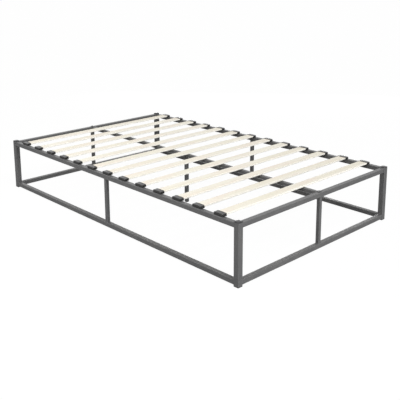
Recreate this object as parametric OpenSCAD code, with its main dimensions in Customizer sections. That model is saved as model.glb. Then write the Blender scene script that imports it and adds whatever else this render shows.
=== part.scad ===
// Steel bed frame with a wooden slat base.
// +X runs to the foot end, +Y to the far side, +Z up.  The origin is on the
// floor, in the middle of the footprint.  All sizes are in millimetres.

/* [Overall size] */
// Length over the corner posts
frame_length = 2030; // [1750:1:2250]
// Width over the corner posts
frame_width = 1230; // [800:1:1900]
// Length of a corner post's tube
post_length = 308; // [250:1:450]

/* [Steel tubes] */
// Side of a square corner post
post_size = 30; // [27:0.5:40]
// Depth of a rail, from its outer to its inner face
rail_depth = 25; // [22:0.5:26]
// Height of a rail
rail_height = 25; // [20:0.5:30]
// Side of the square struts between the two rails
strut_size = 20; // [14:0.5:22]
// Side of the square centre beam
beam_size = 20; // [16:0.5:30]
// Side of the square centre leg
leg_size = 20; // [16:0.5:20]
// Wall of every tube
tube_wall = 1.5; // [1:0.1:1.8]
// Outer corner radius of every tube
tube_corner = 2; // [2:0.1:3]
// Drop from the post's top end to the top rails
top_rail_drop = 3; // [1:0.5:10]
// Rise from the post's bottom end to the bottom rails
bottom_rail_rise = 3; // [2:0.5:40]

/* [Side rail joints] */
// Length of the stub on the post that a side rail slides over
stub_length = 60; // [45:1:70]
// Gap between the stub and the inside of the rail, all round
stub_clearance = 0.3; // [0.2:0.05:0.5]
// Gap between a side rail's end and the post
rail_end_gap = 0.3; // [0.1:0.05:0.6]
// Distance from the post's face to the bolt of a side rail
bolt_inset = 30; // [20:1:36]
// Diameter of the bolts
bolt_d = 6; // [5:0.5:8]
// Gap round a bolt in a drilled wall
bolt_clearance = 0.3; // [0.2:0.05:0.5]
// Gap between a bolt and its nut's bore
thread_clearance = 0.05; // [0.02:0.01:0.1]
// Diameter of a bolt's head
bolt_head_d = 10.5; // [9:0.5:14]
// Height of a bolt's head
bolt_head_height = 3.3; // [2.8:0.1:4]
// Width across the flats of the hexagon socket in a bolt's head
bolt_key = 4; // [3:0.5:5]
// Depth of that socket
bolt_key_depth = 2; // [1:0.1:2.4]
// Side of a square weld nut
nut_size = 11; // [9:0.5:13]
// Height of a square weld nut
nut_height = 5; // [4:0.5:6]
// Length of bolt that stands past its nut
bolt_tail = 2; // [1:0.5:3]

/* [Centre beam] */
// Thickness of the hook plates at the beam's ends
hook_plate = 3; // [2:0.5:4]
// Inside radius of the hook's bend
hook_bend = 1; // [0.6:0.1:1.2]
// Gap between a hook's upright leg and the end rail
hook_gap = 0.3; // [0.1:0.05:0.6]
// Length of the hook past the middle of its bolt
hook_nose = 7; // [6:0.5:10]
// Corner radius of the hook's nose
hook_nose_corner = 3; // [1:0.5:5]

/* [Slats] */
// Number of slats
slat_count = 13; // [9:1:13]
// Width of a slat
slat_width = 53; // [45:0.5:65]
// Thickness of a slat
slat_thickness = 8; // [6:0.5:12]
// Radius of a slat's long edges
slat_edge = 1.2; // [0.5:0.1:2]
// Distance from the frame's end to the middle of the first slat
slat_inset = 139; // [120:1:160]

/* [Slat holders] */
// Depth of a holder, across the rail
holder_depth = 26; // [26:0.5:34]
// Length of a holder that reaches past the rail's inner face
holder_reach = 9; // [5:0.5:9]
// Floor under the slat
holder_floor = 3; // [2.5:0.1:5]
// Roof over the slat, at its highest
holder_roof = 2.8; // [2.4:0.1:4]
// Wall on each side of the slat
holder_side = 2.9; // [2.5:0.1:5]
// Wall behind the end of the slat
holder_back = 3; // [2:0.1:5]
// Drop of the crowned roof from its middle to its ends
holder_crown = 1.3; // [0.5:0.1:1.5]
// Radius of the shoulders where the roof meets the side walls
holder_shoulder = 2.5; // [2:0.1:4.5]
// Radius of the two upright corners at the back
holder_back_corner = 2.5; // [1:0.5:6]
// Height of the rolled lip round the mouth
lip_height = 0.6; // [0.4:0.1:1]
// Width of that lip
lip_width = 3; // [2:0.5:5]
// Size of the lead-in at the mouth of the socket
mouth_lead = 1.2; // [0.5:0.1:1.6]
// Gap between a slat and its socket
socket_clearance = 0.4; // [0.3:0.05:0.6]
// Height of the ribs in the socket's roof that steady the slat
grip_rib_height = 0.25; // [0.1:0.05:0.3]
// Width of those ribs
grip_rib_width = 1.5; // [1:0.1:3]
// Diameter of a snap peg
peg_d = 7.6; // [6:0.1:8]
// Distance between the two snap pegs
peg_spacing = 30; // [22:1:36]
// Gap round a peg in the rail's hole
peg_clearance = 0.2; // [0.1:0.05:0.4]
// Distance that the barb stands out past the peg
peg_barb = 0.4; // [0.3:0.05:0.6]
// Height of the barb's taper
peg_taper = 5; // [3:0.5:7]
// Width of the slot that lets the peg spring
peg_slot = 1.6; // [1:0.1:2.4]

/* [Caps and feet] */
// Height of a post cap's head
cap_height = 5; // [3:0.1:6]
// Rise of the cap's dome over half its width
cap_dome = 1; // [0.4:0.1:1.2]
// Height of the pad under a post or leg
pad_height = 4; // [3:0.5:8]
// Radius of the pads' and caps' outer edges
pad_edge = 1; // [0.5:0.1:1.5]
// Depth of the plug inside the tube
plug_depth = 18; // [12:1:30]
// Wall of the plug
plug_wall = 1.8; // [1.2:0.1:2.5]
// Height of one rib round the plug
plug_rib_height = 1.5; // [1:0.1:2]
// Distance between the plug's ribs
plug_rib_pitch = 4; // [3:0.5:6]
// Distance that the ribs stand out from the plug
plug_rib = 1; // [0.5:0.1:1.5]
// Gap between the plug's ribs and the tube
plug_clearance = 0.3; // [0.15:0.05:0.5]

/* [Hidden] */
$fn = 48;
HEX = 6;
cut = 1; // how far a cutting shape runs past the wall that it cuts

SLATS = [for (i = [1:slat_count]) str("slat_", i < 10 ? "0" : "", i)];
HOLDERS = [for (i = [1:slat_count]) str("slat_holders_", i < 10 ? "0" : "", i)];

HEAD = -1;
FOOT = 1;
NEAR = -1;
FAR = 1;
ENDS = [HEAD, FOOT];
SIDES = [NEAR, FAR];

// Heights above the floor
post_base = pad_height;
post_top = post_base + post_length;
top_rail_top = post_top - top_rail_drop;
top_rail_mid = top_rail_top - rail_height / 2;
top_rail_base = top_rail_top - rail_height;
bottom_rail_base = post_base + bottom_rail_rise;
bottom_rail_mid = bottom_rail_base + rail_height / 2;
bottom_rail_top = bottom_rail_base + rail_height;
beam_base = top_rail_top - beam_size;
slat_base = top_rail_top + holder_floor;

// Middle lines of the posts, which the rails and struts share
post_x = (frame_length - post_size) / 2;
post_y = (frame_width - post_size) / 2;
post_face_x = post_x - post_size / 2;
end_rail_face_x = post_x - rail_depth / 2;

// Lengths
side_rail_length = 2 * (post_face_x - rail_end_gap);
end_rail_length = frame_width - 2 * post_size;
strut_length = top_rail_base - bottom_rail_top;
slat_pitch = (frame_length - 2 * slat_inset) / (slat_count - 1);

// Bolted joints
bolt_hole_d = bolt_d + 2 * bolt_clearance;
rail_bolt_x = post_face_x - bolt_inset;
stub_depth = rail_depth - 2 * (tube_wall + stub_clearance);
stub_height = rail_height - 2 * (tube_wall + stub_clearance);
rail_bolt_grip = 2 * tube_wall + stub_clearance + nut_height;
hook_bolt_grip = hook_plate + tube_wall + nut_height;
hook_root_x = end_rail_face_x - hook_gap - hook_plate;

// Holders: y is measured from the rail's middle line towards the bed's middle
socket_width = slat_width + 2 * socket_clearance;
holder_width = socket_width + 2 * holder_side;
holder_height = holder_floor + slat_thickness + socket_clearance + holder_roof;
holder_mouth_y = rail_depth / 2 + holder_reach;
holder_back_y = holder_mouth_y - holder_depth;
socket_back_y = holder_back_y + holder_back;
slat_length = 2 * (post_y - socket_back_y - socket_clearance);
peg_hole_d = peg_d + 2 * peg_clearance;

function slat_x(i) = slat_inset - frame_length / 2 + i * slat_pitch;

// Radius of the circle through the top of an arch of this rise and half span
function arch_radius(half_span, rise) = (half_span * half_span + rise * rise) / (2 * rise);

// ---- Shapes that several pieces share ----

// Rectangle with true round corners, centred
module round_rect(size, r) {
    square([size[0] - 2 * r, size[1]], center = true);
    square([size[0], size[1] - 2 * r], center = true);
    for (x = [-1, 1], y = [-1, 1])
        translate([x * (size[0] / 2 - r), y * (size[1] / 2 - r)])
            circle(r);
}

// Cross-section of a tube with the common wall and corner
module tube_section(size) {
    difference() {
        round_rect(size, tube_corner);
        round_rect([size[0] - 2 * tube_wall, size[1] - 2 * tube_wall], tube_corner - tube_wall);
    }
}

// Tube along Z, from z = 0 up
module upright_tube(side, length) {
    linear_extrude(length)
        tube_section([side, side]);
}

// Tube along X, centred
module tube_x(depth, height, length) {
    rotate([90, 0, 90])
        linear_extrude(length, center = true)
            tube_section([depth, height]);
}

// Tube along Y, centred
module tube_y(depth, height, length) {
    rotate([90, 0, 0])
        linear_extrude(length, center = true)
            tube_section([depth, height]);
}

// Square pad with its upper edges rounded, from z = 0 up
module rounded_pad(side, height, edge) {
    intersection() {
        linear_extrude(height)
            round_rect([side, side], tube_corner);
        for_both_ways(side)
            soft_top_outline(side, height, edge);
    }
}

// The outline drawn by the children, extruded along X and along Y, where both meet
module for_both_ways(length) {
    intersection() {
        rotate([90, 0, 0])
            linear_extrude(length, center = true)
                children();
        rotate([90, 0, 90])
            linear_extrude(length, center = true)
                children();
    }
}

// Side view of a pad: square at the bottom, rounded at the top corners
module soft_top_outline(width, height, edge) {
    translate([-width / 2, 0])
        square([width, height - edge]);
    translate([edge - width / 2, 0])
        square([width - 2 * edge, height]);
    for (x = [-1, 1])
        translate([x * (width / 2 - edge), height - edge])
            circle(edge);
}

// Ribbed hollow plug that goes down into a square tube, below z = 0
module tube_plug(tube_side) {
    rib_side = tube_side - 2 * (tube_wall + plug_clearance);
    core_side = rib_side - 2 * plug_rib;
    corner = tube_corner / 2;
    mirror([0, 0, 1])
        difference() {
            union() {
                linear_extrude(plug_depth)
                    round_rect([core_side, core_side], corner);
                for (z = [plug_rib_pitch:plug_rib_pitch:plug_depth - plug_rib_height])
                    translate([0, 0, z])
                        linear_extrude(plug_rib_height)
                            round_rect([rib_side, rib_side], corner);
            }
            translate([0, 0, plug_wall])
                linear_extrude(plug_depth)
                    round_rect([core_side - 2 * plug_wall, core_side - 2 * plug_wall], corner / 2);
        }
}

// Bolt along Z with its domed head above z = 0 and its shank below
module domed_bolt(grip) {
    head_r = bolt_head_d / 2;
    dome_r = arch_radius(head_r, bolt_head_height);
    difference() {
        union() {
            intersection() {
                translate([0, 0, bolt_head_height - dome_r])
                    sphere(dome_r);
                cylinder(r = head_r, h = bolt_head_height);
            }
            translate([0, 0, -grip - bolt_tail])
                cylinder(d = bolt_d, h = grip + bolt_tail + bolt_head_height / 4);
        }
        translate([0, 0, bolt_head_height - bolt_key_depth])
            cylinder(d = bolt_key / cos(180 / HEX), h = bolt_key_depth + cut, $fn = HEX);
    }
}

// Square nut with its bearing face at z = 0 and its body below
module weld_nut() {
    translate([0, 0, -nut_height])
        difference() {
            linear_extrude(nut_height)
                round_rect([nut_size, nut_size], tube_corner / 2);
            translate([0, 0, -cut])
                cylinder(d = bolt_d + 2 * thread_clearance, h = nut_height + 2 * cut);
        }
}

// Places its children at every bolt of the side rails, seen from below
module at_rail_bolts(depth) {
    for (end = ENDS, side = SIDES, base = [bottom_rail_base, top_rail_base])
        translate([end * rail_bolt_x, side * post_y, base + depth])
            rotate([180, 0, 0])
                children();
}

// Places its children at both hook bolts, at a height under the rail's top
module at_hook_bolts(depth) {
    for (end = ENDS)
        translate([end * post_x, 0, top_rail_top - depth])
            children();
}

// ---- Corner posts ----

module corner_post(end, side) {
    color("#47474a")
        translate([end * post_x, side * post_y, post_base])
            upright_tube(post_size, post_length);
}

// ---- Head and foot frames ----

module end_rail_top(end) {
    color("#4b4b4e")
        difference() {
            translate([end * post_x, 0, top_rail_mid])
                tube_y(rail_depth, rail_height, end_rail_length);
            at_hook_bolts(tube_wall + cut)
                cylinder(d = bolt_hole_d, h = tube_wall + 2 * cut);
        }
}

module end_rail_bottom(end) {
    color("#4b4b4e")
        translate([end * post_x, 0, bottom_rail_mid])
            tube_y(rail_depth, rail_height, end_rail_length);
}

// Strut between two rails, at a place on the frame's outline
module strut(x, y) {
    color("#47474a")
        translate([x, y, bottom_rail_top])
            upright_tube(strut_size, strut_length);
}

// ---- Side rails ----

module side_rail(side, mid_height) {
    difference() {
        translate([0, side * post_y, mid_height])
            tube_x(rail_depth, rail_height, side_rail_length);
        at_rail_bolts(-cut)
            mirror([0, 0, 1])
                cylinder(d = bolt_hole_d, h = tube_wall + 2 * cut);
    }
}

module side_rail_top(side) {
    color("#4b4b4e")
        difference() {
            side_rail(side, top_rail_mid);
            for (i = [0:slat_count - 1], peg = [-1, 1])
                translate([slat_x(i) + peg * peg_spacing / 2, side * post_y, top_rail_top - tube_wall - cut])
                    cylinder(d = peg_hole_d, h = tube_wall + 2 * cut);
        }
}

module side_rail_bottom(side) {
    color("#4b4b4e")
        side_rail(side, bottom_rail_mid);
}

// Stubs on the posts that the side rails slide over
module rail_stubs() {
    color("#3c3c3e")
        difference() {
            for (end = ENDS, side = SIDES, height = [bottom_rail_mid, top_rail_mid])
                translate([end * (post_face_x - stub_length / 2), side * post_y, height])
                    tube_x(stub_depth, stub_height, stub_length);
            at_rail_bolts(tube_wall + stub_clearance - cut)
                mirror([0, 0, 1])
                    cylinder(d = bolt_hole_d, h = tube_wall + 2 * cut);
        }
}

module rail_bolts() {
    color("#2a2a2c")
        at_rail_bolts(0)
            domed_bolt(rail_bolt_grip);
}

// Nuts inside the stubs and inside the end rails
module weld_nuts() {
    color("#8b8b88") {
        at_rail_bolts(2 * tube_wall + stub_clearance)
            weld_nut();
        at_hook_bolts(tube_wall)
            weld_nut();
    }
}

// ---- Centre beam and leg ----

module centre_beam() {
    color("#45454a")
        translate([0, 0, beam_base + beam_size / 2])
            tube_x(beam_size, beam_size, 2 * hook_root_x);
}

// Side view of a hook: x from the beam's end outwards, y up from the rail's top
module hook_outline() {
    outer_bend = hook_bend + hook_plate;
    nose_x = post_x - hook_root_x + hook_nose;
    translate([0, -beam_size])
        square([hook_plate, beam_size - hook_bend]);
    translate([outer_bend, 0])
        square([nose_x - outer_bend, hook_plate]);
    translate([outer_bend, -hook_bend])
        intersection() {
            difference() {
                circle(outer_bend);
                circle(hook_bend);
            }
            translate([-outer_bend, 0])
                square(outer_bend);
        }
}

module beam_hook(end) {
    nose_x = post_x - hook_root_x + hook_nose;
    color("#3f3f42")
        rotate([0, 0, end == FOOT ? 0 : 180])
            translate([hook_root_x, 0, top_rail_top])
                difference() {
                    intersection() {
                        rotate([90, 0, 0])
                            linear_extrude(beam_size, center = true)
                                hook_outline();
                        translate([nose_x - post_size, 0, -beam_size - cut])
                            linear_extrude(beam_size + hook_plate + 2 * cut)
                                round_rect([2 * post_size, beam_size], hook_nose_corner);
                    }
                    translate([post_x - hook_root_x, 0, -cut])
                        cylinder(d = bolt_hole_d, h = hook_plate + 2 * cut);
                }
}

module beam_bolts() {
    color("#242426")
        at_hook_bolts(-hook_plate)
            domed_bolt(hook_bolt_grip);
}

module centre_leg() {
    color("#45454a")
        translate([0, 0, pad_height])
            upright_tube(leg_size, beam_base - pad_height);
}

// ---- Plastic caps and feet ----

// Foot under a post or leg: a pad on the floor and a plug up inside the tube
module tube_foot(tube_side) {
    translate([0, 0, pad_height])
        mirror([0, 0, 1]) {
            rounded_pad(tube_side, pad_height, pad_edge);
            tube_plug(tube_side);
        }
}

module centre_leg_foot() {
    color("#1b1b1d")
        tube_foot(leg_size);
}

module post_foot(end, side) {
    color("#1b1b1d")
        translate([end * post_x, side * post_y, 0])
            tube_foot(post_size);
}

module post_cap(end, side) {
    dome_r = arch_radius(post_size / 2, cap_dome);
    color("#232326")
        translate([end * post_x, side * post_y, post_top]) {
            intersection() {
                rounded_pad(post_size, cap_height, pad_edge);
                translate([0, 0, cap_height - dome_r])
                    sphere(dome_r, $fn = 96);
            }
            tube_plug(post_size);
        }
}

// ---- Slats ----

module slat(i) {
    color("#efe6d2")
        translate([slat_x(i), 0, slat_base + slat_thickness / 2])
            rotate([90, 0, 0])
                linear_extrude(slat_length, center = true)
                    round_rect([slat_width, slat_thickness], slat_edge);
}

// ---- Moulded slat holders ----
// Each stands on the side rail with two snap pegs through its top wall.  In its
// own frame x runs along the rail, y from the rail's middle line to the inside
// of the bed, and z up from the rail.

// View along the slat: flat foot, upright sides, round shoulders, crowned roof
module holder_outline(grow) {
    width = holder_width + 2 * grow;
    height = holder_height + grow;
    crown_r = arch_radius(width / 2, holder_crown);
    intersection() {
        soft_top_outline(width, height, holder_shoulder);
        translate([0, height - crown_r])
            circle(crown_r, $fn = 180);
    }
}

// Seen from above: square at the mouth, rounded at the two back corners
module holder_plan(width) {
    r = holder_back_corner;
    translate([-width / 2, holder_back_y + r])
        square([width, holder_depth - r]);
    translate([r - width / 2, holder_back_y])
        square([width - 2 * r, holder_depth]);
    for (x = [-1, 1])
        translate([x * (width / 2 - r), holder_back_y + r])
            circle(r);
}

// View along the rail: the roof rolls down to the back
module holder_side_view(height) {
    r = holder_shoulder;
    translate([holder_back_y, 0])
        square([holder_depth, height - r]);
    translate([holder_back_y + r, 0])
        square([holder_depth - r, height]);
    translate([holder_back_y + r, height - r])
        circle(r);
}

module holder_shell() {
    intersection() {
        translate([0, holder_mouth_y, 0])
            rotate([90, 0, 0])
                linear_extrude(holder_depth)
                    holder_outline(0);
        linear_extrude(holder_height)
            holder_plan(holder_width);
        rotate([90, 0, 90])
            linear_extrude(holder_width, center = true)
                holder_side_view(holder_height);
    }
}

// Rolled lip that stiffens the mouth
module holder_lip() {
    translate([0, holder_mouth_y, 0])
        rotate([90, 0, 0])
            linear_extrude(lip_width)
                holder_outline(lip_height);
}

// Socket for the slat, with a lead-in on all four sides of its mouth
module holder_socket() {
    height = slat_thickness + socket_clearance;
    translate([-socket_width / 2, socket_back_y, holder_floor])
        cube([socket_width, holder_depth, height]);
    translate([0, holder_mouth_y, holder_floor])
        rotate([90, 0, 90])
            linear_extrude(socket_width, center = true)
                polygon([
                    [-mouth_lead, 0], [cut, -mouth_lead - cut],
                    [cut, height + mouth_lead + cut], [-mouth_lead, height]
                ]);
    translate([0, holder_mouth_y, holder_floor])
        linear_extrude(height)
            polygon([
                [-socket_width / 2, -mouth_lead], [socket_width / 2, -mouth_lead],
                [socket_width / 2 + mouth_lead + cut, cut], [-socket_width / 2 - mouth_lead - cut, cut]
            ]);
}

// Three ribs under the roof that steady the slat
module grip_ribs() {
    roof = holder_floor + slat_thickness + socket_clearance;
    for (x = [-1, 0, 1])
        translate([x * slat_width / 3 - grip_rib_width / 2, socket_back_y, roof - grip_rib_height])
            cube([grip_rib_width, holder_depth - holder_back - mouth_lead, grip_rib_height]);
}

// Split peg whose barb springs out under the rail's top wall
module snap_peg() {
    neck = tube_wall + peg_clearance;
    difference() {
        union() {
            translate([0, 0, -neck - peg_taper])
                cylinder(d = peg_d, h = neck + peg_taper);
            translate([0, 0, -neck - peg_taper])
                cylinder(d1 = peg_d, d2 = peg_d + 2 * peg_barb, h = peg_taper);
        }
        translate([-peg_d, -peg_slot / 2, -neck - peg_taper - cut])
            cube([2 * peg_d, peg_slot, neck + peg_taper + cut]);
    }
}

module slat_holder() {
    difference() {
        union() {
            holder_shell();
            holder_lip();
        }
        holder_socket();
    }
    grip_ribs();
    for (x = [-1, 1])
        translate([x * peg_spacing / 2, 0, 0])
            snap_peg();
}

module slat_holders(i) {
    color("#1d1d20")
        for (side = SIDES)
            translate([slat_x(i), side * post_y, top_rail_top])
                rotate([0, 0, side == NEAR ? 0 : 180])
                    slat_holder();
}

// ---- One line for each node ----

corner_post(HEAD, NEAR);  // post_head_near
corner_post(HEAD, FAR);  // post_head_far
corner_post(FOOT, NEAR);  // post_foot_near
corner_post(FOOT, FAR);  // post_foot_far
end_rail_top(HEAD);  // head_rail_top
end_rail_bottom(HEAD);  // head_rail_bottom
end_rail_top(FOOT);  // foot_rail_top
end_rail_bottom(FOOT);  // foot_rail_bottom
strut(-post_x, 0);  // head_strut
strut(post_x, 0);  // foot_strut
strut(0, -post_y);  // side_strut_near
strut(0, post_y);  // side_strut_far
side_rail_top(NEAR);  // side_rail_top_near
side_rail_top(FAR);  // side_rail_top_far
side_rail_bottom(NEAR);  // side_rail_bottom_near
side_rail_bottom(FAR);  // side_rail_bottom_far
rail_stubs();
rail_bolts();
weld_nuts();
centre_beam();
beam_hook(HEAD);  // beam_hook_head
beam_hook(FOOT);  // beam_hook_foot
beam_bolts();
centre_leg();
centre_leg_foot();
post_cap(HEAD, NEAR);  // cap_head_near
post_cap(HEAD, FAR);  // cap_head_far
post_cap(FOOT, NEAR);  // cap_foot_near
post_cap(FOOT, FAR);  // cap_foot_far
post_foot(HEAD, NEAR);  // foot_head_near
post_foot(HEAD, FAR);  // foot_head_far
post_foot(FOOT, NEAR);  // foot_foot_near
post_foot(FOOT, FAR);  // foot_foot_far
for (i = [0:slat_count - 1]) {
    slat(i);
    slat_holders(i);
}
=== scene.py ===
"""Dresses the steel bed frame: coated tubes, birch slats, moulded holders, caps, feet and bolts.

Every length is in metres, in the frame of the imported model: +X runs to the foot end,
+Y to the far side and +Z up, with the origin on the floor under the middle of the bed.
"""

import logging
import math
from collections.abc import Callable, Iterable, Iterator
from contextlib import contextmanager
from dataclasses import dataclass
from enum import Enum
from itertools import product
from typing import ClassVar, Self

import bmesh
import bpy
from mathutils import Matrix, Vector


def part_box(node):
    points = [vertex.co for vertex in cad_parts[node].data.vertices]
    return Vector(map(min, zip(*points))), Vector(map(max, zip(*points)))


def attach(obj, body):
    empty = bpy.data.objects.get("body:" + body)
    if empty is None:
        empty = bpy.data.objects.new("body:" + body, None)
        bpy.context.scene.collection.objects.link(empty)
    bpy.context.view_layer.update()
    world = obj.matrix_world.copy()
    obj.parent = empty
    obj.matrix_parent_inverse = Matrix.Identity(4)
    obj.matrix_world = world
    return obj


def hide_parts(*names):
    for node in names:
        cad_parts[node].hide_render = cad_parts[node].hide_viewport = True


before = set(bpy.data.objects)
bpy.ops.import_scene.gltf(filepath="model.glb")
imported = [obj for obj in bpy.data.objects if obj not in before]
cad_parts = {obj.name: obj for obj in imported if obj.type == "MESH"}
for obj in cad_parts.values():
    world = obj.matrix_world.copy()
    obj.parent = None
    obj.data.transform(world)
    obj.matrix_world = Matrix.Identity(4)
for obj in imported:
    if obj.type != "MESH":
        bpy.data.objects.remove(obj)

LOG = logging.getLogger("bed_frame")
MM = 0.001
BODY = "root"
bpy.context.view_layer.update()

# Two places nearer than TOUCH are one. EXTRA is how far a cutting or joined solid passes a face.
TOUCH = 0.01 * MM
EXTRA = 1.0 * MM

# A face faces an axis if its normal passes FACING along it, and squarely if it passes SQUARE.
FACING = 0.9
SQUARE = 0.999

# Sizes that more than one sub-assembly shares.
BOLT_HOLE = 3.3 * MM
BOLT_INSET = 30.0 * MM
PEG_SPACING = 30.0 * MM
HOLE_SIDES = 24
# Marks the rounded faces, which the coat paints lighter: partly a thinner coat, partly a painted highlight.
EDGE_MARK = "tube_edge"

Colour = tuple[float, float, float]
Point = tuple[float, float, float]
Spot = tuple[float, float]
Piece = bpy.types.Object
Socket = bpy.types.NodeSocket
Inputs = dict[str | int, Socket | float | tuple[float, ...]]
PlaceTest = Callable[[Vector, Vector], bool]


class Slot(Enum):
    """The material slots of the record."""

    STEEL = "powder_coated_steel"
    CAP = "cap_plastic"
    HOLDER = "holder_plastic"
    BIRCH = "birch_slat"
    BOLT = "black_bolts"
    NUT = "plain_nuts"


class Axis(Enum):
    """The direction in which a tube runs."""

    X = 0
    Y = 1
    Z = 2


class Word(Enum):
    """An option that is also a word in the nodes' names."""

    @property
    def label(self) -> str:
        """Gives the word."""
        return self.name.lower()


class End(Word):
    """The two ends of the bed, as a sign along X."""

    HEAD = -1
    FOOT = 1


class Side(Word):
    """The two sides of the bed, as a sign along Y."""

    NEAR = -1
    FAR = 1


class Level(Word):
    """The upper and the lower rail of an end or a side."""

    TOP = 1
    BOTTOM = -1


class Pick(Enum):
    """What is selected on a piece being edited."""

    FACES = "FACE"
    EDGES = "EDGE"


class Merge(Enum):
    """What a second solid does to a piece."""

    CUT = "DIFFERENCE"
    ADD = "UNION"


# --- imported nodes


def numbered(stem: str) -> list[str]:
    """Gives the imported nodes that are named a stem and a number, in order."""
    return sorted(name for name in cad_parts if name.rsplit("_", 1)[0] == stem)


def middle(node: str) -> Point:
    """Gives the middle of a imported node's box."""
    return tuple((a + b) / 2 for a, b in zip(*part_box(node)))


def bolt_x(end: End, side: Side) -> float:
    """Gives where the rail bolts beside one post stand along X."""
    return end.value * (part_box(f"post_foot_{side.label}")[0].x - BOLT_INSET)


# --- node helper


@dataclass(frozen=True)
class Pattern:
    """A noise pattern and the part of its range that shows.

    Args:
        scale: Number of features in a metre.
        detail: Number of finer octaves.
        low: Noise value at which the result starts to change.
        high: Noise value at which it stops.
        least: The result up to the low value.
        most: The result from the high value on.
        roughness: Strength of the finer octaves.
        stretch: Factor on the three coordinates.
    """

    scale: float
    detail: float
    low: float = 0.0
    high: float = 1.0
    least: float = 0.0
    most: float = 1.0
    roughness: float = 0.5
    stretch: Point = (1.0, 1.0, 1.0)


class NodeBench:
    """Builds a node tree from short, named steps."""

    def __init__(self, owner: bpy.types.Material | bpy.types.World) -> None:
        """Empties the tree of a material or a world.

        Args:
            owner: The material or the world.
        """
        owner.use_nodes = True
        self.tree = owner.node_tree
        self.tree.nodes.clear()

    @staticmethod
    def feed(node: bpy.types.Node, inputs: Inputs) -> None:
        """Gives some inputs of a node a link or a plain value.

        Args:
            node: The node.
            inputs: A socket, a number, a vector or a colour with its alpha, by the input's name or place.
        """
        for key, value in inputs.items():
            if isinstance(value, Socket):
                node.id_data.links.new(value, node.inputs[key])
            else:
                node.inputs[key].default_value = value

    def add(self, kind: str, inputs: Inputs | None = None, **settings: object) -> bpy.types.Node:
        """Adds a node, sets its properties and feeds its inputs.

        Args:
            kind: The node's type name.
            inputs: What its inputs get, by name or place.
            **settings: Properties of the node, by name.

        Returns:
            The new node.
        """
        node = self.tree.nodes.new(kind)
        for key, value in settings.items():
            setattr(node, key, value)
        self.feed(node, inputs or {})
        return node

    def place(self, stretch: Point = (1.0, 1.0, 1.0)) -> Socket:
        """Gives object coordinates, stretched along the three axes."""
        place = self.add("ShaderNodeTexCoord").outputs["Object"]
        return self.add("ShaderNodeMapping", {"Vector": place, "Scale": stretch}).outputs["Vector"]

    def noise(self, pattern: Pattern) -> Socket:
        """Adds a pattern's plain noise, about 0.5 on average."""
        shape = {"Scale": pattern.scale, "Detail": pattern.detail, "Roughness": pattern.roughness}
        return self.add("ShaderNodeTexNoise", {"Vector": self.place(pattern.stretch), **shape}).outputs["Fac"]

    def spread(self, pattern: Pattern) -> Socket:
        """Adds a pattern, with its noise mapped onto its own range."""
        return self.remap(self.noise(pattern), pattern.low, pattern.high, pattern.least, pattern.most)

    def remap(self, value: Socket, low: float, high: float, least: float, most: float) -> Socket:
        """Maps one range of a value onto another, held at its ends."""
        inputs = {"Value": value, "From Min": low, "From Max": high, "To Min": least, "To Max": most}
        return self.add("ShaderNodeMapRange", inputs).outputs["Result"]

    def combine(self, operation: str, first: Socket | float, second: Socket | float = 0.0) -> Socket:
        """Does one of the Math node's operations on two values."""
        return self.add("ShaderNodeMath", {0: first, 1: second}, operation=operation).outputs["Value"]

    def blend(self, factor: Socket, first: Socket | Colour, second: Socket | Colour) -> Socket:
        """Blends two colours.

        Args:
            factor: Share of the second colour.
            first: A colour or a colour socket.
            second: A colour or a colour socket.

        Returns:
            The blended colour's socket.
        """
        # The node has sockets for every kind of value. Its colours go in at 6 and 7 and come out at 2.
        inputs: Inputs = {"Factor": factor}
        for key, value in ((6, first), (7, second)):
            inputs[key] = value if isinstance(value, Socket) else (*value, 1.0)
        return self.add("ShaderNodeMix", inputs, data_type="RGBA").outputs[2]

    def axis(self, vector: Socket, axis: Axis) -> Socket:
        """Gives one coordinate of a vector."""
        return self.add("ShaderNodeSeparateXYZ", {"Vector": vector}).outputs[axis.name]

    def seen_directly(self, *also: str) -> Socket:
        """Gives 1 for rays from the camera and 0 for others.

        Args:
            *also: Outputs of the Light Path node for other rays that count as direct.

        Returns:
            The value's socket.
        """
        rays = self.add("ShaderNodeLightPath").outputs
        last = rays["Is Camera Ray"]
        for name in also:
            last = self.combine("MAXIMUM", last, rays[name])
        return last


class FinishBench(NodeBench):
    """Builds one finish on a Principled shader."""

    def __init__(self, name: str) -> None:
        """Starts an empty material with the shader.

        Args:
            name: The material's name.
        """
        self.material = bpy.data.materials.new(name)
        super().__init__(self.material)
        self.shader = self.add("ShaderNodeBsdfPrincipled")
        self.add("ShaderNodeOutputMaterial", {"Surface": self.shader.outputs["BSDF"]})

    def finish(
        self, colour: Socket, gloss: Socket, reliefs: Iterable[tuple[Socket, float]]
    ) -> bpy.types.Material:
        """Gives the shader its colour, its roughness and its relief.

        Args:
            colour: The colour's socket.
            gloss: The roughness's socket.
            reliefs: Pairs of a height pattern from 0 to 1 and its relief in metres.

        Returns:
            The material.
        """
        under: Inputs = {}
        for height, relief in reliefs:
            shape = {"Height": height, "Distance": relief, "Strength": 1.0}
            bump = self.add("ShaderNodeBump", {**shape, **under})
            under = {"Normal": bump.outputs["Normal"]}
        self.feed(self.shader, {"Base Color": colour, "Roughness": gloss, **under})
        return self.material


# --- finishes


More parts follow.
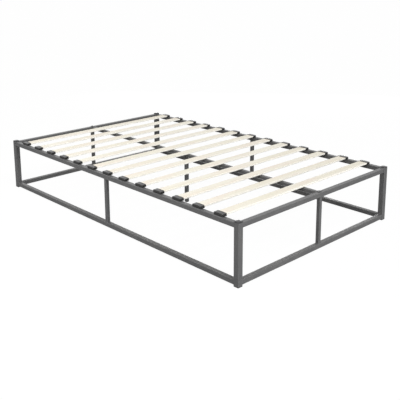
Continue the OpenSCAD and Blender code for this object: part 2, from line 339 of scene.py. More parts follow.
@dataclass(frozen=True)
class PowderCoat:
    """Satin dark grey powder coat with a fine orange-peel skin, painted lighter along the tube's edges,
    partly for a thinner coat and partly as a painted highlight.
    """

    base: Colour = (0.085, 0.085, 0.087)
    mottled: Colour = (0.102, 0.101, 0.101)
    # Lighter colour of the rounded edges: partly a thinner coat, partly a painted highlight.
    edge: Colour = (0.12, 0.12, 0.12)
    cloud: Pattern = Pattern(9.0, 3.0, 0.35, 0.65)
    speck: Pattern = Pattern(900.0, 1.0, 0.45, 0.75, most=0.5)
    thin: Pattern = Pattern(140.0, 3.0, 0.4, 0.7)
    gloss: Pattern = Pattern(35.0, 2.0, 0.3, 0.7, 0.3, 0.4)
    peel: Pattern = Pattern(520.0, 1.0)
    peel_relief: float = 0.05 * MM
    grit: Pattern = Pattern(2200.0, 1.0)
    grit_relief: float = 0.015 * MM

    def material(self) -> bpy.types.Material:
        """Makes the coat's material.

        Returns:
            The material.
        """
        bench = FinishBench("powder_coat")
        mottle = bench.combine("MAXIMUM", bench.spread(self.cloud), bench.spread(self.speck))
        colour = bench.blend(mottle, self.base, self.mottled)
        # Rounded faces are painted lighter in broken patches: partly a thinner coat, partly a painted
        # highlight.
        thin_coat_and_highlight_mask = bench.add("ShaderNodeAttribute", attribute_name=EDGE_MARK).outputs["Fac"]
        thin = bench.combine("MULTIPLY", thin_coat_and_highlight_mask, bench.spread(self.thin))
        colour = bench.blend(thin, colour, self.edge)
        reliefs = ((bench.noise(self.peel), self.peel_relief), (bench.noise(self.grit), self.grit_relief))
        return bench.finish(colour, bench.spread(self.gloss), reliefs)


@dataclass(frozen=True)
class Skin:
    """A skin with a rubbed tone, an uneven gloss and a fine grain.

    Args:
        name: The material's name.
        base: Its main colour.
        rubbed: Its colour where it has been rubbed.
        gloss: Its roughness.
        rub: Where it has been rubbed.
        grain: Its grain.
        relief: Height of the grain.
        metallic: 1 for bare metal, 0 for plastic.
        specular: Strength of a plastic's reflections.
    """

    name: str
    base: Colour
    rubbed: Colour
    gloss: Pattern
    rub: Pattern
    grain: Pattern
    relief: float
    metallic: float = 0.0
    specular: float = 0.5

    def material(self) -> bpy.types.Material:
        """Makes the skin's material.

        Returns:
            The material.
        """
        bench = FinishBench(self.name)
        bench.feed(bench.shader, {"Metallic": self.metallic, "Specular IOR Level": self.specular})
        colour = bench.blend(bench.spread(self.rub), self.base, self.rubbed)
        return bench.finish(colour, bench.spread(self.gloss), ((bench.noise(self.grain), self.relief),))


@dataclass(frozen=True)
class MouldedPlastic(Skin):
    """Near-black moulded plastic with a fine spark-eroded skin."""

    rub: Pattern = Pattern(120.0, 3.0, 0.35, 0.7)
    grain: Pattern = Pattern(1600.0, 2.0)
    relief: float = 0.02 * MM


@dataclass(frozen=True)
class Metal(Skin):
    """A plated or blackened metal for the fasteners."""

    rub: Pattern = Pattern(260.0, 4.0, 0.45, 0.7)
    grain: Pattern = Pattern(1500.0, 2.0)
    relief: float = 0.01 * MM


@dataclass(frozen=True)
class BirchVeneer:
    """Pale sanded birch slat: long grain along Y, pinkish and cream bands, glued layers on its edges, which
    are painted near white as a painted highlight.
    """

    cream: Colour = (0.83, 0.79, 0.662)
    pale: Colour = (0.88, 0.848, 0.752)
    pinkish: Colour = (0.85, 0.77, 0.675)
    fibre: Colour = (0.78, 0.71, 0.585)
    layer: Colour = (0.84, 0.79, 0.69)
    # Edge colour: the plywood edge's own tone, raised near white as a painted highlight on the edges.
    edge_pale: Colour = (0.96, 0.94, 0.88)
    veneer: float = 1.33 * MM
    slat_floor: float = 0.312
    bands: Pattern = Pattern(1.0, 3.0, 0.38, 0.62, roughness=0.55, stretch=(42.0, 1.6, 42.0))
    blush: Pattern = Pattern(1.0, 2.0, 0.46, 0.66, most=0.9, stretch=(23.0, 5.0, 23.0))
    lines: Pattern = Pattern(1.0, 3.0, 0.52, 0.8, most=0.55, roughness=0.6, stretch=(620.0, 6.0, 620.0))
    flecks: Pattern = Pattern(1.0, 1.0, 0.66, 0.8, most=0.4, stretch=(900.0, 70.0, 900.0))
    glue: Pattern = Pattern(1.0, 2.0, 0.3, 0.7, 0.25, 0.8, stretch=(300.0, 18.0, 900.0))
    sheen: tuple[float, float, float, float] = (0.3, 0.7, 0.52, 0.66)
    # Share of the edge colour by how upright a face is: upright faces get the glue layers and the painted
    # highlight.
    upright: tuple[float, float, float, float] = (0.35, 0.75, 1.0, 0.0)
    line_relief: float = 0.04 * MM
    fleck_relief: float = 0.02 * MM

    def material(self) -> bpy.types.Material:
        """Makes the birch material, whose grain lines and flecks also shape its gloss and relief.

        Returns:
            The material.
        """
        bench = FinishBench("birch")
        lines, flecks = bench.noise(self.lines), bench.noise(self.flecks)
        colour = bench.blend(bench.spread(self.bands), self.cream, self.pale)
        colour = bench.blend(bench.spread(self.blush), colour, self.pinkish)
        for pattern, noise in ((self.lines, lines), (self.flecks, flecks)):
            share = bench.remap(noise, pattern.low, pattern.high, pattern.least, pattern.most)
            colour = bench.blend(share, colour, self.fibre)
        normal = bench.add("ShaderNodeNewGeometry").outputs["Normal"]
        level = bench.combine("ABSOLUTE", bench.axis(normal, Axis.Z))
        # Upright faces take the edge colour: glue layers that the plywood has, on a near-white painted
        # highlight.
        colour = bench.blend(bench.remap(level, *self.upright), colour, self._layers(bench))
        reliefs = ((lines, self.line_relief), (flecks, self.fleck_relief))
        return bench.finish(colour, bench.remap(lines, *self.sheen), reliefs)

    def _layers(self, bench: FinishBench) -> Socket:
        """Gives the colour of the upright edges: the glued layers, whose grain turns from one to the next, on
        a near-white tone that is a painted highlight.

        Args:
            bench: The material's bench.

        Returns:
            The colour's socket.
        """
        height = bench.combine("SUBTRACT", bench.axis(bench.place(), Axis.Z), self.slat_floor)
        step = bench.combine("PINGPONG", height, self.veneer)
        dark = bench.remap(step, 0.0, self.veneer, 0.0, 1.0)
        share = bench.combine("MULTIPLY", dark, bench.spread(self.glue))
        return bench.blend(share, self.edge_pale, self.layer)


class FinishRack:
    """Every finish of the bed, made once and handed out by slot."""

    def __init__(self) -> None:
        """Makes the materials."""
        cap = MouldedPlastic(
            "cap_plastic", (0.009, 0.009, 0.01), (0.016, 0.016, 0.017),
            Pattern(60.0, 2.0, 0.3, 0.7, 0.18, 0.28),
        )
        holder = MouldedPlastic(
            "holder_plastic", (0.0085, 0.0085, 0.0082), (0.015, 0.0147, 0.014),
            Pattern(60.0, 2.0, 0.3, 0.7, 0.14, 0.24), specular=0.65,
        )
        bolt = Metal(
            "black_oxide", (0.03, 0.03, 0.032), (0.075, 0.073, 0.07),
            Pattern(90.0, 2.0, 0.3, 0.7, 0.35, 0.5), metallic=0.6,
        )
        nut = Metal(
            "zinc_plate", (0.52, 0.52, 0.5), (0.4, 0.4, 0.4),
            Pattern(90.0, 2.0, 0.3, 0.7, 0.3, 0.45), metallic=1.0,
        )
        finishes = {
            Slot.STEEL: PowderCoat(), Slot.CAP: cap, Slot.HOLDER: holder,
            Slot.BIRCH: BirchVeneer(), Slot.BOLT: bolt, Slot.NUT: nut,
        }
        self._by_slot = {slot: finish.material() for slot, finish in finishes.items()}

    def dress(self, piece: Piece, slot: Slot) -> None:
        """Gives a piece one finish all over.

        Args:
            piece: The piece to dress.
            slot: The slot of its finish.
        """
        piece.data.materials.clear()
        piece.data.materials.append(self._by_slot[slot])

    def dress_cad(self, node: str, slot: Slot) -> None:
        """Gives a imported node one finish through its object's material slots.

        Args:
            node: The node's name.
            slot: The slot of its finish.
        """
        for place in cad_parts[node].material_slots:
            place.link = "OBJECT"
            place.material = self._by_slot[slot]


# --- modelling


def upright(a: Vector, b: Vector) -> bool:
    """Tells whether an edge between two places rises, for pieces whose other edges are level."""
    return abs(a.z - b.z) > TOUCH


def hold(*pieces: Piece) -> None:
    """Deselects everything, then selects these pieces and makes the first one active.

    Args:
        *pieces: The pieces to hold, or none.
    """
    bpy.ops.object.select_all(action="DESELECT")
    for piece in pieces:
        piece.select_set(True)
    if pieces:
        bpy.context.view_layer.objects.active = pieces[0]


class Blank:
    """A piece in the making, with the few steps that every piece is made with."""

    def __init__(self, piece: Piece, name: str) -> None:
        """Takes up an object, and names it and its mesh."""
        self.piece = piece
        piece.name = piece.data.name = name

    @classmethod
    def _primitive(cls, name: str) -> Self:
        """Takes up the primitive just added, with its place and size put into its mesh."""
        bpy.ops.object.transform_apply(location=True, rotation=True, scale=True)
        return cls(bpy.context.active_object, name)

    @classmethod
    def block(cls, name: str, low: Point, high: Point) -> Self:
        """Starts a piece as a block between two corners.

        Args:
            name: The piece's name.
            low: Its lowest corner.
            high: Its highest corner.

        Returns:
            The new piece.
        """
        hold()
        bpy.ops.mesh.primitive_cube_add(size=1.0, location=[(a + b) / 2 for a, b in zip(low, high)])
        bpy.context.active_object.scale = [b - a for a, b in zip(low, high)]
        return cls._primitive(name)

    @classmethod
    def rod(cls, name: str, foot: Point, radius: float, height: float, sides: int) -> Self:
        """Starts a piece as an upright rod.

        Args:
            name: The piece's name.
            foot: Middle of its lower face.
            radius: Its radius.
            height: Its height.
            sides: Number of its sides.

        Returns:
            The new piece.
        """
        hold()
        centre = (foot[0], foot[1], foot[2] + height / 2)
        bpy.ops.mesh.primitive_cylinder_add(vertices=sides, radius=radius, depth=height, location=centre)
        return cls._primitive(name)

    @contextmanager
    def editing(self) -> Iterator[None]:
        """Opens the piece in edit mode with nothing selected, and closes it after.

        Yields:
            Nothing, while the piece is open.
        """
        hold(self.piece)
        bpy.ops.object.mode_set(mode="EDIT")
        bpy.ops.mesh.select_all(action="DESELECT")
        yield
        bpy.ops.object.mode_set(mode="OBJECT")

    def _pick(self, what: Pick, test: Callable[[bmesh.types.BMFace | bmesh.types.BMEdge], bool]) -> None:
        """Selects the faces or the edges that pass a test.

        Args:
            what: Faces or edges.
            test: Takes a face or an edge.
        """
        bpy.ops.mesh.select_mode(type=what.value)
        bpy.ops.mesh.select_all(action="DESELECT")
        mesh = bmesh.from_edit_mesh(self.piece.data)
        for part in mesh.faces if what is Pick.FACES else mesh.edges:
            if test(part):
                part.select_set(True)
        bmesh.update_edit_mesh(self.piece.data)

    def pick_faces(self, test: PlaceTest) -> None:
        """Selects the faces whose centre and normal pass a test."""
        self._pick(Pick.FACES, lambda face: test(face.calc_center_median(), face.normal))

    def pick_edges(self, test: PlaceTest) -> None:
        """Selects the edges whose two ends pass a test."""
        self._pick(Pick.EDGES, lambda edge: test(edge.verts[0].co, edge.verts[1].co))

    def round_edges(self, test: PlaceTest, width: float, steps: int, profile: float = 0.5) -> None:
        """Bevels the edges whose two ends pass a test, in some steps, with a profile of 0.5 for round."""
        self.pick_edges(test)
        bpy.ops.mesh.bevel(offset=width, segments=steps, profile=profile, affect="EDGES")

    def ease_rim(self, test: PlaceTest, width: float, steps: int) -> None:
        """Bevels the rim round the faces whose centre and normal pass a test.

        Args:
            test: Takes a face's centre and normal.
            width: Width of the bevel.
            steps: Number of steps across it.
        """
        self.pick_faces(test)
        bpy.ops.mesh.region_to_loop()
        bpy.ops.mesh.bevel(offset=width, segments=steps, affect="EDGES")

    @staticmethod
    def split(place: Point, normal: Point) -> None:
        """Draws new edges round the piece being edited, where a plane meets it."""
        bpy.ops.mesh.select_all(action="SELECT")
        bpy.ops.mesh.bisect(plane_co=place, plane_no=normal)

    @staticmethod
    def draw_out(reach: Point) -> None:
        """Extrudes the selected faces of the piece being edited."""
        bpy.ops.mesh.extrude_region_move(TRANSFORM_OT_translate={"value": reach})

    def lower(self, drop: Callable[[Vector], float]) -> None:
        """Lowers every corner of the piece being edited.

        Args:
            drop: Takes a corner's place and gives how far it goes down.
        """
        mesh = bmesh.from_edit_mesh(self.piece.data)
        for vertex in mesh.verts:
            vertex.co.z -= drop(vertex.co)
        bmesh.update_edit_mesh(self.piece.data)

    def _apply(self, kind: str, **settings: object) -> None:
        """Adds one modifier and applies it.

        Args:
            kind: The modifier's type name.
            **settings: Properties of the modifier, by name.
        """
        hold(self.piece)
        step = self.piece.modifiers.new("step", kind)
        for key, value in settings.items():
            setattr(step, key, value)
        bpy.ops.object.modifier_apply(modifier=step.name)

    def merge(self, other: Self, how: Merge = Merge.CUT) -> None:
        """Cuts the piece with another or adds that to it, and uses the other up."""
        self._apply("BOOLEAN", operation=how.value, solver="EXACT", object=other.piece)
        other.discard()

    def soften(self, width: float, angle: float) -> None:
        """Rounds every edge that is sharper than an angle in degrees."""
        limit = math.radians(angle)
        self._apply("BEVEL", width=width, segments=2, limit_method="ANGLE", angle_limit=limit)

    def smooth(self, angle: float = 30.0) -> None:
        """Shades the piece smooth across its flatter edges and keeps its broad faces flat.

        Args:
            angle: Largest angle that is smoothed, in degrees.
        """
        hold(self.piece)
        bpy.ops.object.shade_smooth_by_angle(angle=math.radians(angle))
        self._apply("WEIGHTED_NORMAL", keep_sharp=True)

    def join(self, *others: Self) -> Self:
        """Joins other pieces into this one.

        Args:
            *others: The pieces, which are used up.

        Returns:
            This piece.
        """
        hold(self.piece, *(other.piece for other in others))
        if others:
            bpy.ops.object.join()
        return self

    def copy(self, name: str, spot: Point, half_turn: Axis | None = None) -> Self:
        """Copies the piece with a mesh of its own, put in place in that mesh.

        Args:
            name: The copy's name.
            spot: Where the piece's own origin goes.
            half_turn: The axis that the copy is turned half round, if any.

        Returns:
            The copy.
        """
        place = Matrix.Translation(spot)
        if half_turn is not None:
            place = place @ Matrix.Rotation(math.pi, 4, half_turn.name)
        mesh = self.piece.data.copy()
        mesh.transform(place)
        copy = bpy.data.objects.new(name, mesh)
        bpy.context.scene.collection.objects.link(copy)
        return type(self)(copy, name)

    def discard(self) -> None:
        """Removes the piece, once it is used up or copied."""
        bpy.data.objects.remove(self.piece)


@dataclass
class SubAssembly:
    """A group of pieces that are built and dressed together.

    Args:
        rack: The finishes.
    """

    rack: FinishRack
    title: ClassVar[str] = "pieces"

    def keep(self, blank: Blank, slot: Slot, *nodes: str) -> None:
        """Dresses a finished piece, rides it on the frame and hides the nodes it stands for.

        Args:
            blank: The finished piece.
            slot: The slot of its finish.
            *nodes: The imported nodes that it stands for.
        """
        piece = blank.piece
        self.rack.dress(piece, slot)
        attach(piece, BODY)
        if nodes:
            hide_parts(*nodes)
        LOG.info("%s: %s, %d faces", self.title, piece.name, len(piece.data.polygons))

    def build(self) -> None:
        """Builds every piece of the group."""
        raise NotImplementedError


# --- steel tubes


@dataclass(frozen=True)
class Tube:
    """One length of square steel tube.

    Args:
        node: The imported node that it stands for.
        axis: The way it runs.
        drilled: Places of the holes on its upper face.
        hole: Radius of those holes.
        drilled_below: Places of the holes on its lower face.
        hole_below: Radius of those holes.
        wall: Its thickness.
        corner: Radius of its long edges.
        corner_steps: Number of steps round one edge.
    """

    node: str
    axis: Axis
    drilled: tuple[Spot, ...] = ()
    hole: float = 4.0 * MM
    drilled_below: tuple[Spot, ...] = ()
    hole_below: float = BOLT_HOLE
    wall: float = 1.5 * MM
    corner: float = 2.0 * MM
    corner_steps: int = 4

    def piece(self) -> Blank:
        """Makes the tube: a block with rounded long edges, bored right through, then drilled.

        Returns:
            The tube.
        """
        low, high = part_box(self.node)
        tube = Blank.block(f"{self.node}_tube", tuple(low), tuple(high))
        along = self.axis.value
        with tube.editing():
            tube.round_edges(
                lambda a, b: abs((a - b)[along]) > 2 * self.corner, self.corner, self.corner_steps
            )
            tube.pick_faces(lambda centre, normal: abs(normal[along]) > FACING)
            bpy.ops.mesh.inset(thickness=self.wall, depth=0.0)
            bpy.ops.mesh.bridge_edge_loops()
        self._drill(tube, self.drilled, self.hole, high[2])
        self._drill(tube, self.drilled_below, self.hole_below, low[2] + self.wall)
        self._mark_edges(tube)
        tube.smooth()
        return tube

    def _drill(self, tube: Blank, places: tuple[Spot, ...], radius: float, top: float) -> None:
        """Drills round holes through one wall, with half a wall to spare above and below.

        Args:
            tube: The tube.
            places: The holes' middles, seen from above.
            radius: Their radius.
            top: Height of the wall's upper face.
        """
        foot = top - self.wall - self.wall / 2
        drills = [Blank.rod("drill", (x, y, foot), radius, 2 * self.wall, HOLE_SIDES) for x, y in places]
        if drills:
            tube.merge(drills[0].join(*drills[1:]))

    def _mark_edges(self, tube: Blank) -> None:
        """Marks the rounded faces, where the coat is painted lighter, partly for a thinner coat and partly as
        a painted highlight.

        Args:
            tube: The tube.
        """
        mesh = tube.piece.data
        marks = mesh.attributes.new(EDGE_MARK, "FLOAT", "FACE")
        for face in mesh.polygons:
            marks.data[face.index].value = float(max(abs(part) for part in face.normal) < SQUARE)


@dataclass(frozen=True)
class WeldBead:
    """A thin fillet weld round a tube's end, thinner by its ripple at every second step of its pitch."""

    radius: float = 1.5 * MM
    ripple: float = 0.2
    pitch: float = 1.4 * MM
    corner: float = 2.0 * MM
    corner_steps: int = 3
    sides: int = 3
    smoothed: float = 80.0

    def piece(self, name: str, node: str, axis: Axis, sign: int) -> Blank:
        """Makes the bead as a closed curve round the tube, turned into a mesh.

        Args:
            name: The bead's name.
            node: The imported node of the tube.
            axis: The way the tube runs.
            sign: -1 for the tube's lower end along that axis, 1 for its higher one.

        Returns:
            The bead.
        """
        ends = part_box(node)
        spots = [index for index in range(3) if index != axis.value]
        path = self._path(tuple((ends[1] - ends[0])[spot] for spot in spots))
        centre = list(middle(node))
        centre[axis.value] = ends[sign > 0][axis.value]
        curve = bpy.data.curves.new(name, "CURVE")
        curve.dimensions = "3D"
        curve.bevel_depth = self.radius
        curve.bevel_resolution = self.sides
        line = curve.splines.new("POLY")
        line.points.add(len(path) - 1)
        line.use_cyclic_u = True
        for number, (point, shifts) in enumerate(zip(line.points, path)):
            place = list(centre)
            for spot, shift in zip(spots, shifts):
                place[spot] += shift
            point.co = (*place, 1.0)
            point.radius = 1.0 - self.ripple * (number % 2)
        track = bpy.data.objects.new(name, curve)
        bpy.context.scene.collection.objects.link(track)
        hold(track)
        bpy.ops.object.convert(target="MESH")
        bead = Blank(bpy.context.active_object, name)
        with bead.editing():
            bpy.ops.mesh.select_all(action="SELECT")
            bpy.ops.mesh.normals_make_consistent(inside=False)
        bead.smooth(self.smoothed)
        return bead

    def _path(self, across: Spot) -> list[Spot]:
        """Walks round an oblong with round corners in even steps.

        Args:
            across: The oblong's two sizes.

        Returns:
            The points of the walk.
        """
        points = []
        for turn, signs in enumerate(((1, 1), (-1, 1), (-1, -1), (1, -1))):
            x, y = (sign * (size / 2 - self.corner) for sign, size in zip(signs, across))
            for step in range(self.corner_steps + 1):
                angle = math.radians(90 * turn + 90 * step / self.corner_steps)
                points.append((x + self.corner * math.cos(angle), y + self.corner * math.sin(angle)))
        walk = []
        for start, end in zip(points, points[1:] + points[:1]):
            steps = max(1, round(math.dist(start, end) / self.pitch))
            walk += [tuple(a + (b - a) * i / steps for a, b in zip(start, end)) for i in range(steps)]
        return walk


@dataclass
class TubeFrame(SubAssembly):
    """The posts, rails and struts, with the welds that hold each end frame and side frame together."""

    title: ClassVar[str] = "tube frame"
    struts: tuple[str, ...] = ("head_strut", "foot_strut", "side_strut_near", "side_strut_far")

    def build(self) -> None:
        """Builds every tube and every weld, and dresses the hidden stubs."""
        posts = [Tube(f"post_{end.label}_{side.label}", Axis.Z) for end, side in product(End, Side)]
        struts = [Tube(name, Axis.Z) for name in self.struts]
        for tube in (*posts, *self._end_rails(), *struts, *self._side_rails()):
            self.keep(tube.piece(), Slot.STEEL, tube.node)
        for bead in self._welds():
            self.keep(bead, Slot.STEEL)
        self.rack.dress_cad("rail_stubs", Slot.STEEL)

    def _end_rails(self) -> Iterator[Tube]:
        """Gives the two rails of each end, the upper one drilled for the beam's hook.

        Yields:
            One rail.
        """
        for end in End:
            top = f"{end.label}_rail_top"
            yield Tube(top, Axis.Y, drilled=((middle(top)[0], 0.0),), hole=BOLT_HOLE)
            yield Tube(f"{end.label}_rail_bottom", Axis.Y)

    def _side_rails(self) -> Iterator[Tube]:
        """Gives the two rails of each side, drilled for the holders' pegs and for the bolts below.

        Yields:
            One rail.
        """
        for side in Side:
            line = middle(f"side_rail_top_{side.label}")[1]
            bolts = tuple((bolt_x(end, side), line) for end in End)
            holders = [middle(name)[0] for name in numbered("slat_holders")]
            pegs = tuple((x + sign * PEG_SPACING / 2, line) for x in holders for sign in (-1, 1))
            yield Tube(f"side_rail_top_{side.label}", Axis.X, drilled=pegs, drilled_below=bolts)
            yield Tube(f"side_rail_bottom_{side.label}", Axis.X, drilled_below=bolts)

    def _welds(self) -> Iterator[Blank]:
        """Makes the beads at both ends of every end rail and every strut.

        Yields:
            One bead.
        """
        for end, level, side in product(End, Level, Side):
            rail = f"{end.label}_rail_{level.label}"
            yield WeldBead().piece(f"weld_{rail}_{side.label}", rail, Axis.Y, side.value)
        for strut, (tip, sign) in product(self.struts, (("foot", -1), ("head", 1))):
            yield WeldBead().piece(f"weld_{strut}_{tip}", strut, Axis.Z, sign)


# --- fasteners


@dataclass(frozen=True)
class DomedBolt:
    """A button-head bolt with a hexagon socket."""

    head_radius: float = 5.25 * MM
    head_height: float = 3.3 * MM
    dome_share: float = 0.82
    dome_steps: int = 7
    dome_profile: float = 0.42
    key: float = 2.31 * MM
    key_depth: float = 2.0 * MM
    key_sides: int = 6
    shank_radius: float = 3.0 * MM
    tip: float = 0.5 * MM
    sides: int = 36
    smoothed: float = 35.0

    def piece(self, name: str, shank: float) -> Blank:
        """Makes the bolt with its head's bearing face at height 0.

        Args:
            name: The bolt's name.
            shank: Length of its shank.

        Returns:
            The bolt.
        """
        top = self.head_height
        bolt = Blank.rod(name, (0, 0, 0), self.head_radius, top, self.sides)
        with bolt.editing():
            bolt.round_edges(
                lambda a, b: min(a.z, b.z) > top - TOUCH,
                self.dome_share * top, self.dome_steps, self.dome_profile,
            )
            bolt.pick_faces(lambda centre, normal: normal.z < -FACING)
            bpy.ops.mesh.inset(thickness=self.head_radius - self.shank_radius, depth=0.0)
            bolt.draw_out((0, 0, -shank))
            bpy.ops.mesh.inset(thickness=self.tip, depth=self.tip)
        foot = (0, 0, top - self.key_depth)
        bolt.merge(Blank.rod("key", foot, self.key, self.key_depth + EXTRA, self.key_sides))
        bolt.smooth(self.smoothed)
        return bolt


@dataclass
class RailFixings(SubAssembly):
    """The bolts under the side rails and the nuts inside them."""

    title: ClassVar[str] = "rail fixings"
    shank: float = 10.3 * MM

    def build(self) -> None:
        """Puts a bolt under both ends of every side rail, and dresses the hidden nuts."""
        master = DomedBolt().piece("rail_bolt", self.shank)
        for end, side, level in product(End, Side, Level):
            rail = f"side_rail_{level.label}_{side.label}"
            spot = (bolt_x(end, side), middle(rail)[1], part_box(rail)[0].z)
            bolt = master.copy(f"rail_bolt_{end.label}_{side.label}_{level.label}", spot, Axis.X)
            self.keep(bolt, Slot.BOLT, "rail_bolts")
        master.discard()
        self.rack.dress_cad("weld_nuts", Slot.NUT)


# --- centre beam and leg


@dataclass
class CentreSupport(SubAssembly):
    """The beam down the middle, its two hooks and bolts, and its leg."""

    title: ClassVar[str] = "centre support"
    plate: float = 3.0 * MM
    bend: float = 4.0 * MM
    bend_steps: int = 6
    nose: float = 3.0 * MM
    nose_steps: int = 5
    ease: float = 0.3 * MM
    eased: float = 40.0
    shank: float = 11.5 * MM
    leg_corner: float = 1.5 * MM

    def build(self) -> None:
        """Builds the beam, the leg and its weld, the hooks and the hook bolts."""
        for tube in (Tube("centre_beam", Axis.X), Tube("centre_leg", Axis.Z)):
            self.keep(tube.piece(), Slot.STEEL, tube.node)
        weld = WeldBead(corner=self.leg_corner).piece("weld_centre_leg", "centre_leg", Axis.Z, 1)
        self.keep(weld, Slot.STEEL)
        for end in End:
            self.keep(self._hook(end), Slot.STEEL, f"beam_hook_{end.label}")
        self._bolts()

    def _hook(self, end: End) -> Blank:
        """Makes one bent hook plate: an upright leg, a flat tab with round corners and a bolt hole.

        Args:
            end: The end of the bed that it hooks onto.

        Returns:
            The hook.
        """
        name = f"beam_hook_{end.label}"
        low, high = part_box(name)
        root, tip = (low.x, high.x) if end is End.FOOT else (high.x, low.x)
        inner = root + end.value * self.plate
        under = high.z - self.plate
        back = sorted((root, inner))
        hook = Blank.block(f"{name}_plate", (back[0], low.y, low.z), (back[1], high.y, high.z))
        with hook.editing():
            hook.split((0, 0, under), (0, 0, 1))
            hook.pick_faces(lambda centre, normal: normal.x * end.value > FACING and centre.z > under)
            hook.draw_out((tip - inner, 0, 0))
            hook.round_edges(
                lambda a, b: all(abs(p.x - root) < TOUCH and abs(p.z - high.z) < TOUCH for p in (a, b)),
                self.bend, self.bend_steps,
            )
            hook.round_edges(
                lambda a, b: all(abs(p.x - tip) < TOUCH for p in (a, b)) and upright(a, b),
                self.nose, self.nose_steps,
            )
        foot = (middle(f"post_{end.label}_near")[0], 0, under - self.plate)
        hook.merge(Blank.rod("drill", foot, BOLT_HOLE, 4 * self.plate, HOLE_SIDES))
        hook.soften(self.ease, self.eased)
        hook.smooth()
        return hook

    def _bolts(self) -> None:
        """Puts a bolt through each hook."""
        master = DomedBolt().piece("hook_bolt", self.shank)
        for end in End:
            spot = (middle(f"post_{end.label}_near")[0], 0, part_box(f"beam_hook_{end.label}")[1].z)
            self.keep(master.copy(f"hook_bolt_{end.label}", spot), Slot.BOLT, "beam_bolts")
        master.discard()


# --- slat base


@dataclass(frozen=True)
class SlatBoard:
    """One flat birch slat with eased edges, rounder above than below."""

    edge: float = 1.2 * MM
    under_edge: float = 0.5 * MM
    edge_steps: int = 3
    shortest: float = 0.5
    end: float = 0.5 * MM
    end_steps: int = 2

    def piece(self, node: str) -> Blank:
        """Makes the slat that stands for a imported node.

        Args:
            node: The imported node.

        Returns:
            The slat.
        """
        low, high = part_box(node)
        board = Blank.block(f"{node}_board", tuple(low), tuple(high))
        with board.editing():
            for height, width in ((high.z, self.edge), (low.z, self.under_edge)):
                board.round_edges(
                    lambda a, b: abs(a.y - b.y) > self.shortest and abs(a.z - height) < TOUCH,
                    width, self.edge_steps,
                )
            board.ease_rim(lambda centre, normal: abs(normal.y) > FACING, self.end, self.end_steps)
        board.smooth()
        return board


